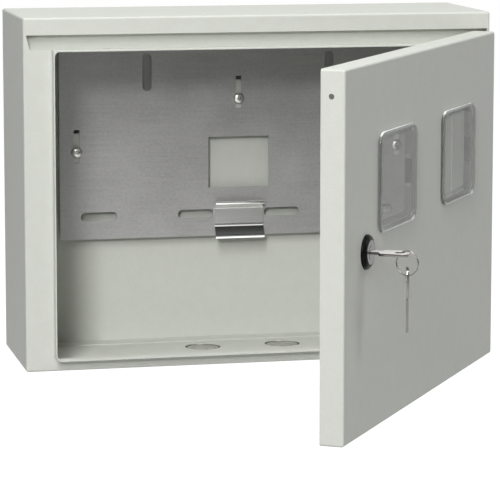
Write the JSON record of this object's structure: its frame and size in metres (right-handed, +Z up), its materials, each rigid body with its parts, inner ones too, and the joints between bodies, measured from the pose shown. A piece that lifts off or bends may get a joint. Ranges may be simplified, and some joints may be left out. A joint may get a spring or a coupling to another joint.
{
  "type": "electric meter box",
  "caption": "Wall-hung sheet-steel meter box with a rain hood, mounting plate, rail and a lockable door with clear inspection windows, standing open.",
  "frame": {"origin": "centre of the four wall holes, on the back face that lies on the wall", "axes": "+Z up, +Y into the wall, +X to the right as seen from in front"},
  "size_m": [0.42, 0.4927, 0.3108],
  "materials": {
    "paint": "light grey powder coat, fine orange peel, satin",
    "galvanised": "zinc-plated steel, dull",
    "plated": "bright zinc plate",
    "nickel": "nickel plate, polished",
    "black": "black moulded plastic, satin",
    "clear": "clear moulded polycarbonate",
    "foam": "black closed-cell foam"
  },
  "bodies": {
    "box": {"enclosure": "paint", "plate_brackets": "paint", "mounting_plate": "galvanised", "plate_screws": "plated", "din_rail": "plated", "frame_hinge_upper": "paint", "frame_hinge_lower": "paint", "hinge_pin_upper": "plated", "hinge_pin_lower": "plated", "body_earth_stud": "plated", "body_earth_washer": "plated", "body_earth_nut": "plated"},
    "door": {"door_panel": "paint", "door_hinge_upper": "paint", "door_hinge_lower": "paint", "door_seal": "foam", "window_left": "clear", "window_right": "clear", "lock_rosette": "black", "lock_housing": "nickel", "lock_nut": "plated", "door_earth_stud": "plated", "door_earth_washer": "plated", "door_earth_nut": "plated"},
    "plug": {"lock_plug": "nickel", "lock_cam": "plated", "cam_screw": "plated"},
    "key": {"lock_key": "nickel"},
    "ring": {"key_ring": "nickel"},
    "spare": {"spare_key": "nickel"}
  },
  "joints": [
    {"name": "door_swing", "type": "hinge", "parent": "box", "child": "door", "pos_m": [0.2039, -0.1459, 0], "axis": [0, 0, 1], "range_deg": [-56.8, 58.2]},
    {"name": "lock_turn", "type": "hinge", "parent": "door", "child": "plug", "pos_m": [0.00738, -0.44621, -0.0079], "axis": [-0.8368, 0.5476, 0], "range_deg": [0, 90]},
    {"name": "key_pull", "type": "slide", "parent": "plug", "child": "key", "axis": [0.8368, -0.5476, 0], "range_m": [0, 0.0195]},
    {"name": "ring_swing", "type": "hinge", "parent": "key", "child": "ring", "pos_m": [0.03918, -0.46702, -0.01493], "axis": [0.6845, 0.729, 0], "range_deg": [-70, 35]},
    {"name": "spare_swing", "type": "hinge", "parent": "ring", "child": "spare", "pos_m": [0.03918, -0.46702, -0.02443], "axis": [-0.729, 0.6845, 0], "range_deg": [-60, 60]}
  ]
}
